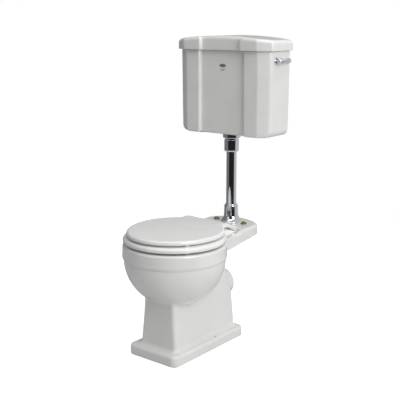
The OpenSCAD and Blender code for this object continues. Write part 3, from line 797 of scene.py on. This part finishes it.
class TOILET_OT_flush_pipe(bpy.types.Operator):
    """Build the chrome flush pipe, its bell cover, the coupling nut and the back nut"""

    bl_idname = "toilet.flush_pipe"
    bl_label = "Flush pipe"

    def execute(self, context):
        centre = (0, PIPE_Y, 0)
        pipe = path((19, 374), (19, 500), (19, 620), (19, 706), (17.5, 706), (17.5, 374))
        bell = path(
            (36.6, 411.1), (38, 411.4), arc(36.9, 413.2, 1.2, -60, 80, 6), (36.4, 415.2),
            arc(48.5, 436, 21.5, 238, 184, 12), (26.4, 442), (25.9, 456), (25.8, 468),
            arc(20.9, 471.5, 4.9, 0, 80, 8), (21.2, 477.2), arc(20.4, 478.6, 1.4, -60, 120, 7),
            (19.4, 479.6), (19.4, 477), (23, 470), (24.6, 460), (25, 440), (34, 414),
        )
        nut = path(
            (19.3, 679), (21.5, 679), arc(21.5, 684.8, 5.8, -90, 0, 10), (27.3, 700), (27.3, 716),
            arc(26.3, 722, 1.0, 0, 90, 5), (25.2, 723.4), (25.2, 729.5), (20.1, 729.5), (20.1, 702),
            (19.3, 695),
        )
        flange = path(
            (20.1, 730), (29, 730), arc(30.2, 732.3, 2.3, -90, 0, 6), (32.5, 745),
            arc(31, 746.3, 1.5, 0, 90, 5), (20.1, 747.8),
        )
        for name, profile, node in (
            ("chrome_flush_pipe", pipe, "flush_pipe"), ("chrome_bell_cover", bell, "bell_cover"),
            ("chrome_coupling_nut", nut, "coupling_nut"), ("chrome_back_nut", flange, "outlet_backnut"),
        ):
            piece = sharpen(turned(name, profile, centre, closed=False), 40)
            dress(piece, "root", "chrome_plate", chrome_plate(), node)
        return {"FINISHED"}


LEVER_LOW, LEVER_HIGH = box_of("lever_handle")
LEVER = np.array([LEVER_HIGH[0] - 0.0105, LEVER_LOW[1] + 0.0085, (LEVER_LOW[2] + LEVER_HIGH[2]) / 2])


class TOILET_OT_lever(bpy.types.Operator):
    """Build the flush lever: boss, ball hub, flared neck and teardrop knob, and its rosette"""

    bl_idname = "toilet.lever"
    bl_label = "Flush lever"

    def execute(self, context):
        arm = path(
            (0.3, 5), (6, 6), (9, 6.5), arc(9.3, 7.9, 1.15, -70, 60, 6), (9.3, 11), (8.4, 16), (6.6, 22),
            (5.6, 28), (5.3, 31), arc(5.9, 32.6, 1.0, -120, 60, 6), (6.9, 35.5), (8.4, 40), (9.4, 45),
            (9.7, 49.5), (9.3, 54), (8.3, 59), (6.4, 63), (3.6, 65.6), (0.3, 66.4),
        )
        arm = turned("arm", arm, LEVER, "Y")
        ball = turned("ball", arc(0, 0, 8.5, -89, 89, 24) * MM, LEVER, "Y")
        boss = path((5.2, -10.6), (6.6, -10.6), (7, -10.2), (7, -2), (5.2, -2))
        boss = turned("boss", boss, LEVER, "X", closed=False)
        handle = sharpen(merge("chrome_lever", [arm, ball, boss]), 50)
        dress(handle, "lever", "chrome_plate", chrome_plate(), "lever_handle")
        wall_x = TANK_HALF + 0.0001
        rosette = path(
            (8.1, 0), (13, 0), (13.1, 1.0), arc(11.3, 1.1, 1.8, 0, 80, 6), (9.4, 3.5), (8.9, 4), (8.1, 4),
        )
        rosette = turned("chrome_rosette", rosette, (wall_x, LEVER[1], LEVER[2]), "X", closed=False)
        dress(sharpen(rosette, 45), "root", "chrome_plate", chrome_plate(), "lever_rosette")
        return {"FINISHED"}


class TOILET_OT_bolts(bpy.types.Operator):
    """Build the two domed brass bolts that hold the shelf's fittings"""

    bl_idname = "toilet.bolts"
    bl_label = "Shelf bolts"

    def execute(self, context):
        low, high = box_of("shelf_bolts")
        x = high[0] - 0.0115
        y = (low[1] + high[1]) / 2
        head = path((4, low[2] / MM), (4, 411), (11.5, 411), (11.6, 412.4), (10.6, 413.6), (9.6, 414.2))
        dome = arc(0, 409.2, 11.0, 28, 89, 12) * MM
        profile = np.concatenate([[[0.0002, low[2]]], head, dome])
        bolts = [turned("bolt", profile, (x * side, y, 0), sides=64) for side in (-1, 1)]
        bolts = sharpen(merge("brass_shelf_bolts", bolts), 40)
        dress(bolts, "root", "brass", brass(), "shelf_bolts")
        return {"FINISHED"}


# ---------- materials ----------


def add(tree, kind, inputs=None, **settings):
    """Adds a node, sets its properties, and fills its inputs with values or links."""
    node = tree.nodes.new(kind)
    for key, value in settings.items():
        setattr(node, key, value)
    for socket, value in (inputs or {}).items():
        if isinstance(value, bpy.types.NodeSocket):
            tree.links.new(value, node.inputs[socket])
        else:
            node.inputs[socket].default_value = value
    return node


def new_material(name, **sockets):
    """An empty material with a Principled shader set from the given values."""
    material = bpy.data.materials.new(name)
    material.use_nodes = True
    tree = material.node_tree
    tree.nodes.clear()
    shader = add(tree, "ShaderNodeBsdfPrincipled", sockets)
    add(tree, "ShaderNodeOutputMaterial", {"Surface": shader.outputs["BSDF"]})
    place = add(tree, "ShaderNodeTexCoord").outputs["Object"]
    return material, tree, shader, place


def per_millimetre(size):
    """Texture scale at which one feature is this many millimetres wide, in metres of object space."""
    return 1000.0 / size


def noise(tree, place, size, detail=2.0, roughness=0.5):
    """Noise whose features are about this many millimetres wide."""
    inputs = {"Vector": place, "Scale": per_millimetre(size), "Detail": detail, "Roughness": roughness}
    return add(tree, "ShaderNodeTexNoise", inputs).outputs["Fac"]


def span(tree, value, low, high, to_low, to_high):
    """Maps a value from one range to another, held at the ends."""
    inputs = {"Value": value, "From Min": low, "From Max": high, "To Min": to_low, "To Max": to_high}
    return add(tree, "ShaderNodeMapRange", inputs).outputs["Result"]


def tinted(tree, value, base, other, low=0.35, high=0.65):
    """Blends from the base colour to another as the value goes from low to high."""
    ramp = add(tree, "ShaderNodeValToRGB", {"Fac": value})
    ramp.color_ramp.elements[0].position = low
    ramp.color_ramp.elements[0].color = base
    ramp.color_ramp.elements[1].position = high
    ramp.color_ramp.elements[1].color = other
    return ramp.outputs["Color"]


def bump(tree, height, depth, under=None):
    """Bump of a depth in millimetres, on top of another bump if one is given."""
    inputs = {"Height": height, "Distance": depth * MM, "Strength": 1.0}
    if under is not None:
        inputs["Normal"] = under
    return add(tree, "ShaderNodeBump", inputs).outputs["Normal"]


def darker(value, share):
    """The same colour with its light reduced to a share."""
    return tuple(v * share for v in value[:3]) + (1.0,)


def once(build):
    """Builds a material the first time it is asked for, then hands out the same one."""
    made = {}

    def get():
        """The material, made on the first call."""
        if "material" not in made:
            made["material"] = build(bpy.context.scene.toilet_finish)
        return made["material"]

    return get


@once
def vitreous_china(finish):
    """Vitreous china, slip cast and fired under a thick clear glaze: a white body, mirror gloss on
    top, and the slow waviness that the casting and the run of the glaze leave."""
    material, tree, shader, place = new_material("vitreous_china", Roughness=0.16, IOR=1.5)
    shader.inputs["Coat Weight"].default_value = 0.7
    shader.inputs["Coat Roughness"].default_value = 0.04
    shader.inputs["Coat IOR"].default_value = 1.5
    body = noise(tree, place, 90, 3.0)
    colour_out = tinted(tree, body, finish.china, darker(finish.china, 0.965))
    tree.links.new(colour_out, shader.inputs["Base Color"])
    wave = bump(tree, noise(tree, place, 70, 1.0), 0.55)
    peel = bump(tree, noise(tree, place, 5, 1.0), 0.006, wave)
    tree.links.new(wave, shader.inputs["Coat Normal"])
    tree.links.new(peel, shader.inputs["Normal"])
    return material


@once
def thermoset(finish):
    """Urea thermoset, hot pressed in a polished tool: even white, hard gloss, almost no texture."""
    material, tree, shader, place = new_material("urea_thermoset", Roughness=0.17, IOR=1.52)
    shader.inputs["Coat Weight"].default_value = 0.35
    shader.inputs["Coat Roughness"].default_value = 0.06
    mottle = noise(tree, place, 60, 2.0)
    tree.links.new(tinted(tree, mottle, finish.seat, darker(finish.seat, 0.975)), shader.inputs["Base Color"])
    peel = bump(tree, noise(tree, place, 9, 1.0), 0.012)
    tree.links.new(peel, shader.inputs["Normal"])
    return material


@once
def chrome_plate(finish):
    """Bright chrome plate over polished brass: a sharp mirror with faint polishing marks."""
    material, tree, shader, place = new_material("chrome_plate", Metallic=1.0)
    marks = noise(tree, place, 3, 4.0, 0.6)
    plate = tinted(tree, marks, finish.chrome, darker(finish.chrome, 0.96))
    tree.links.new(plate, shader.inputs["Base Color"])
    tree.links.new(span(tree, marks, 0.3, 0.7, 0.035, 0.075), shader.inputs["Roughness"])
    polish = bump(tree, noise(tree, place, 14, 1.0), 0.01)
    tree.links.new(polish, shader.inputs["Normal"])
    return material


@once
def brass(finish):
    """Turned brass left bare: yellow metal with brown tarnish in soft patches."""
    material, tree, shader, place = new_material("turned_brass", Metallic=1.0)
    tarnish = noise(tree, place, 6, 5.0, 0.62)
    patches = tinted(tree, tarnish, finish.brass, darker(finish.brass, 0.42))
    tree.links.new(patches, shader.inputs["Base Color"])
    tree.links.new(span(tree, tarnish, 0.3, 0.7, 0.2, 0.42), shader.inputs["Roughness"])
    tree.links.new(bump(tree, tarnish, 0.02), shader.inputs["Normal"])
    return material


@once
def rubber(finish):
    """Moulded black rubber: matt, faintly grey with bloom."""
    material, tree, shader, place = new_material("moulded_rubber", Roughness=0.7, IOR=1.52)
    bloom = noise(tree, place, 8, 4.0)
    tree.links.new(tinted(tree, bloom, finish.rubber, srgb("#2C2C2C")), shader.inputs["Base Color"])
    tree.links.new(bump(tree, noise(tree, place, 1.2, 3.0), 0.03), shader.inputs["Normal"])
    return material


def moulded_plastic(name, base):
    """Injection moulded plastic with a fine eroded texture from the tool."""
    material, tree, shader, place = new_material(name, Roughness=0.38, IOR=1.5)
    flow = noise(tree, place, 25, 3.0)
    tree.links.new(tinted(tree, flow, base, darker(base, 0.93)), shader.inputs["Base Color"])
    tree.links.new(bump(tree, noise(tree, place, 0.9, 2.0), 0.012), shader.inputs["Normal"])
    return material


@once
def white_plastic(finish):
    """White acetal and polypropylene of the buffers, nuts and valve body."""
    return moulded_plastic("white_acetal", finish.plastic)


@once
def grey_plastic(finish):
    """Grey ABS of the riser, the link and the float ball."""
    return moulded_plastic("grey_abs", finish.grey_plastic)


@once
def ink_transfer(finish):
    """Ceramic ink fired under the glaze: dark and slightly uneven, with the glaze's gloss over it."""
    material, tree, shader, place = new_material("fired_ink", Roughness=0.2, IOR=1.5)
    uneven = noise(tree, place, 1.5, 4.0, 0.6)
    tree.links.new(tinted(tree, uneven, finish.transfer, srgb("#8A8B84")), shader.inputs["Base Color"])
    return material


FINISHES = {
    "china": vitreous_china, "seat_white": thermoset, "chrome_plate": chrome_plate, "brass": brass,
    "rubber": rubber, "white_plastic": white_plastic, "grey_plastic": grey_plastic,
}


def dress(item, body, slot, material, *nodes):
    """Gives a finished piece its material and its body, and hides the CAD nodes that it stands for; the slot
    is not used.
    """
    item.data.materials.clear()
    item.data.materials.append(material)
    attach(item, body)
    if nodes:
        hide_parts(*nodes)


class TOILET_OT_fittings(bpy.types.Operator):
    """Give every CAD piece that is kept its own finish, from the record's material slots"""

    bl_idname = "toilet.fittings"
    bl_label = "Fittings"

    def execute(self, context):
        for part in frame["record"]["subparts"]:
            item = frame["nodes"][part["node"]]
            item.data.materials.clear()
            item.data.materials.append(FINISHES[part["material_slot"]]())
        return {"FINISHED"}


# ---------- stage ----------


def light(name, place, target, size, power):
    """Square area light that points from its place to a target."""
    data = bpy.data.lights.new(name, "AREA")
    data.shape = "RECTANGLE"
    data.size, data.size_y = size
    data.energy = power
    item = bpy.data.objects.new(name, data)
    item.location = place
    direction = np.array(target) - np.array(place)
    yaw = math.atan2(direction[0], -direction[1])
    pitch = math.atan2(math.hypot(direction[0], direction[1]), -direction[2])
    item.rotation_euler = (pitch, 0, yaw + math.pi)
    bpy.context.scene.collection.objects.link(item)


def studio_world():
    """White room with a dark side behind the camera and a dimmer left side, which only reflections
    and light see; looked at directly it is plain white."""
    world = bpy.data.worlds.new("studio")
    bpy.context.scene.world = world
    world.use_nodes = True
    tree = world.node_tree
    tree.nodes.clear()
    way = add(tree, "ShaderNodeTexCoord").outputs["Generated"]
    facing = add(tree, "ShaderNodeVectorMath", {0: way, 1: (0.625, -0.78, 0.0)}, operation="DOT_PRODUCT")
    ramp = add(tree, "ShaderNodeValToRGB", {"Fac": facing.outputs["Value"]})
    stops = ramp.color_ramp.elements
    stops[0].position, stops[0].color = 0.30, (0.95, 0.95, 0.95, 1)
    stops[1].position, stops[1].color = 0.62, (0.03, 0.03, 0.03, 1)
    left = add(tree, "ShaderNodeVectorMath", {0: way, 1: (-0.97, -0.24, 0.0)}, operation="DOT_PRODUCT")
    strength = span(tree, left.outputs["Value"], 0.0, 0.7, 0.62, 0.20)
    room = add(tree, "ShaderNodeBackground", {"Color": ramp.outputs["Color"], "Strength": strength})
    white = add(tree, "ShaderNodeBackground", {"Color": (1, 1, 1, 1), "Strength": 1.0})
    seen = add(tree, "ShaderNodeLightPath").outputs["Is Camera Ray"]
    both = add(tree, "ShaderNodeMixShader", {"Fac": seen, 1: room.outputs[0], 2: white.outputs[0]})
    add(tree, "ShaderNodeOutputWorld", {"Surface": both.outputs[0]})


CAMERA_PLACE = (1.7534, -2.1557, 1.1592)
CAMERA_YAW, CAMERA_PITCH, CAMERA_LENS = 38.70, 12.78, 72.1  # degrees, degrees, millimetres


class TOILET_OT_stage(bpy.types.Operator):
    """Build the pale floor, the soft studio lights and the camera"""

    bl_idname = "toilet.stage"
    bl_label = "Stage"

    def execute(self, context):
        scene = context.scene
        scene.view_settings.view_transform = "Standard"
        floor = rod("floor", 1.9, -0.02, 0.0, (0, 0, 0), "Z")
        material, tree, shader, place = new_material("white_sweep", Roughness=0.9)
        grain = noise(tree, place, 400, 2.0)
        paint = tinted(tree, grain, srgb("#D2D2D2"), srgb("#CECECE"))
        tree.links.new(paint, shader.inputs["Base Color"])
        shader.inputs["Emission Color"].default_value = (1, 1, 1, 1)
        # a grey floor keeps its light off the china, and the glow makes it look white
        seen = add(tree, "ShaderNodeLightPath").outputs["Is Camera Ray"]
        glow = add(tree, "ShaderNodeMath", {0: seen, 1: 0.8}, operation="MULTIPLY")
        tree.links.new(glow.outputs["Value"], shader.inputs["Emission Strength"])
        floor.data.materials.append(material)
        studio_world()
        light("key", (2.8, -0.8, 1.9), (0, 0, 0.6), (1.6, 2.0), 56)
        light("top", (0.4, -0.5, 3.2), (0, 0, 0.4), (2.4, 2.4), 30)
        light("fill", (-0.4, -2.9, 1.9), (0, 0, 0.7), (1.8, 1.8), 8)
        camera = bpy.data.cameras.new("camera")
        camera.lens = CAMERA_LENS
        camera.sensor_width = 36.0
        camera.shift_x, camera.shift_y = -0.00125, 0.00125
        camera.clip_start = 0.05
        item = bpy.data.objects.new("camera", camera)
        item.location = CAMERA_PLACE
        item.rotation_euler = (math.radians(90 - CAMERA_PITCH), 0, math.radians(CAMERA_YAW))
        scene.collection.objects.link(item)
        scene.camera = item
        return {"FINISHED"}


# ---------- add-on ----------

PIECES = (
    TOILET_OT_pan, TOILET_OT_seat, TOILET_OT_lid, TOILET_OT_cistern, TOILET_OT_cistern_lid,
    TOILET_OT_transfer, TOILET_OT_flush_pipe, TOILET_OT_lever, TOILET_OT_bolts, TOILET_OT_fittings,
    TOILET_OT_stage,
)


class TOILET_PT_panel(bpy.types.Panel):
    """Lists the sizes, the colours and one button for each piece"""

    bl_idname = "TOILET_PT_panel"
    bl_label = "Medium-level toilet"
    bl_space_type = "VIEW_3D"
    bl_region_type = "UI"
    bl_category = "Toilet"

    def draw(self, context):
        """Draws the property groups, then the operators' buttons."""
        for group in GROUPS:
            box = self.layout.box()
            values = getattr(context.scene, group)
            for name in values.__annotations__:
                box.prop(values, name)
        for piece in PIECES:
            self.layout.operator(piece.bl_idname)


GROUPS = {
    "toilet_pan": PanSizes, "toilet_seat": SeatSizes, "toilet_cistern": CisternSizes,
    "toilet_finish": FinishColours,
}
CLASSES = (*GROUPS.values(), *PIECES, TOILET_PT_panel)


def register():
    """Registers the classes and hangs the property groups on the scene."""
    for item in CLASSES:
        bpy.utils.register_class(item)
    for name, kind in GROUPS.items():
        setattr(bpy.types.Scene, name, PointerProperty(type=kind))


def unregister():
    """Takes the property groups off the scene and the classes out again."""
    for name in GROUPS:
        delattr(bpy.types.Scene, name)
    for item in reversed(CLASSES):
        bpy.utils.unregister_class(item)


def main():
    """Builds every piece."""
    register()
    for piece in PIECES:
        getattr(bpy.ops.toilet, piece.bl_idname.split(".")[1])()


if __name__ == "__main__":
    main()
